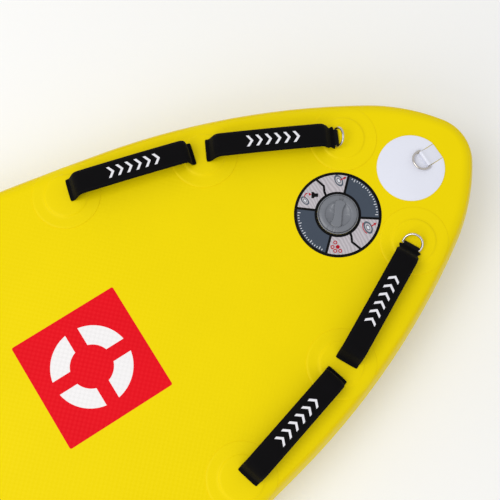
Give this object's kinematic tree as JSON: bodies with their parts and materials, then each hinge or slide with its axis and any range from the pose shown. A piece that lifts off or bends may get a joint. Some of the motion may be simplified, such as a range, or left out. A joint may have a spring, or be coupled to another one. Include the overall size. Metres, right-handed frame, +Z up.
{
  "type": "inflatable lifeguard rescue board",
  "caption": "Long inflatable rescue board with upturned nose and tail, padded grab handles along the rails, towing rings, a deck valve and a fin base.",
  "frame": {"origin": "under the middle of the board, on the flat of the hull", "axes": "+X towards the nose, +Y to port, +Z up through the deck"},
  "size_m": [3.1996, 0.8076, 0.1904],
  "materials": {
    "board_yellow": "coated drop-stitch fabric, satin, fine dimples",
    "rail_yellow": "smooth coated fabric, satin",
    "patch_yellow": "smooth coated fabric welded down, satin",
    "patch_white": "smooth coated fabric welded down, satin",
    "thread_white": "spun polyester yarn",
    "sleeve_black": "knit-faced foam sleeve, matt",
    "web_black": "woven polyester webbing",
    "ring_steel": "bent stainless wire, electropolished",
    "spring_steel": "drawn stainless wire",
    "valve_grey": "injection moulded nylon, fine matt texture",
    "valve_dark": "injection moulded nylon, smooth",
    "seal_rubber": "moulded EPDM",
    "label_print": "printed vinyl film, matt",
    "pad_grey": "closed-cell EVA foam, brushed and embossed",
    "fin_black": "injection moulded, smooth"
  },
  "bodies": {
    "board": {"deck_skin": "board_yellow", "deck_base_cloth": "board_yellow", "hull_skin": "board_yellow", "side_wall": "rail_yellow", "deck_rail_tape": "rail_yellow", "hull_rail_tape": "rail_yellow", "drop_threads": "thread_white", "nose_handle_port_front": "sleeve_black", "nose_handle_port_rear": "sleeve_black", "nose_handle_starboard_front": "sleeve_black", "nose_handle_starboard_rear": "sleeve_black", "nose_patch_anchors": "web_black", "nose_patch_discs": "patch_yellow", "nose_handle_webbing": "web_black", "middle_handle_port_front": "sleeve_black", "middle_handle_port_rear": "sleeve_black", "middle_handle_starboard_front": "sleeve_black", "middle_handle_starboard_rear": "sleeve_black", "middle_patch_anchors": "web_black", "middle_patch_discs": "patch_yellow", "middle_handle_webbing": "web_black", "tail_handle_port_front": "sleeve_black", "tail_handle_port_rear": "sleeve_black", "tail_handle_starboard_front": "sleeve_black", "tail_handle_starboard_rear": "sleeve_black", "tail_patch_anchors": "web_black", "tail_patch_discs": "patch_yellow", "tail_handle_webbing": "web_black", "tow_patch_disc": "patch_white", "tow_strap": "patch_white", "tail_patch_disc": "patch_white", "tail_strap": "patch_white", "valve_body": "valve_grey", "valve_nut": "valve_dark", "valve_gasket": "seal_rubber", "valve_spring": "spring_steel", "cap_tether": "valve_dark", "valve_label": "label_print", "deck_pad_1": "pad_grey", "deck_pad_2": "pad_grey", "deck_pad_3": "pad_grey", "deck_pad_4": "pad_grey", "deck_pad_5": "pad_grey", "carry_handle": "sleeve_black", "carry_handle_webbing": "web_black", "carry_patch_anchors": "web_black", "carry_patch_discs": "patch_yellow", "fin_base": "fin_black", "fin_base_patch": "board_yellow"},
    "tow_ring": {"tow_ring": "ring_steel"},
    "tail_ring": {"tail_ring": "ring_steel"},
    "handle_ring_port": {"handle_ring_port": "ring_steel"},
    "handle_ring_starboard": {"handle_ring_starboard": "ring_steel"},
    "valve_stem": {"valve_stem": "valve_grey", "poppet_seal": "seal_rubber"},
    "cap_collar": {"cap_collar": "valve_dark"},
    "valve_cap": {"valve_cap": "valve_grey", "cap_seal": "seal_rubber"}
  },
  "joints": [
    {"name": "tow_ring_swing", "type": "hinge", "parent": "board", "child": "tow_ring", "pos_m": [1.5071, 0, 0.17429], "axis": [0, 1, 0], "range_deg": [-12, 150]},
    {"name": "tail_ring_swing", "type": "hinge", "parent": "board", "child": "tail_ring", "pos_m": [-1.48711, 0, 0.16223], "axis": [0, -1, 0], "range_deg": [-12, 150]},
    {"name": "handle_ring_port_swing", "type": "hinge", "parent": "board", "child": "handle_ring_port", "pos_m": [1.40482, 0.10715, 0.16568], "axis": [-0.4329, -0.9007, -0.0349], "range_deg": [-58, 35]},
    {"name": "handle_ring_starboard_swing", "type": "hinge", "parent": "board", "child": "handle_ring_starboard", "pos_m": [1.40482, -0.10715, 0.16568], "axis": [0.4329, -0.9007, 0.0349], "range_deg": [-26, 65]},
    {"name": "valve_stem_press", "type": "slide", "parent": "board", "child": "valve_stem", "axis": [0.0829, 0, -0.9966], "range_m": [0, 0.006], "stiffness_N_per_m": 400, "springref_m": -0.006, "deforming": ["valve_spring"]},
    {"name": "cap_lift", "type": "slide", "parent": "board", "child": "cap_collar", "axis": [-0.0829, 0, 0.9966], "range_m": [0, 0.045]},
    {"name": "cap_turn", "type": "hinge", "parent": "cap_collar", "child": "valve_cap", "pos_m": [1.338, 0, 0.15478], "axis": [-0.0829, 0, 0.9966], "range_deg": [0, 90]}
  ]
}
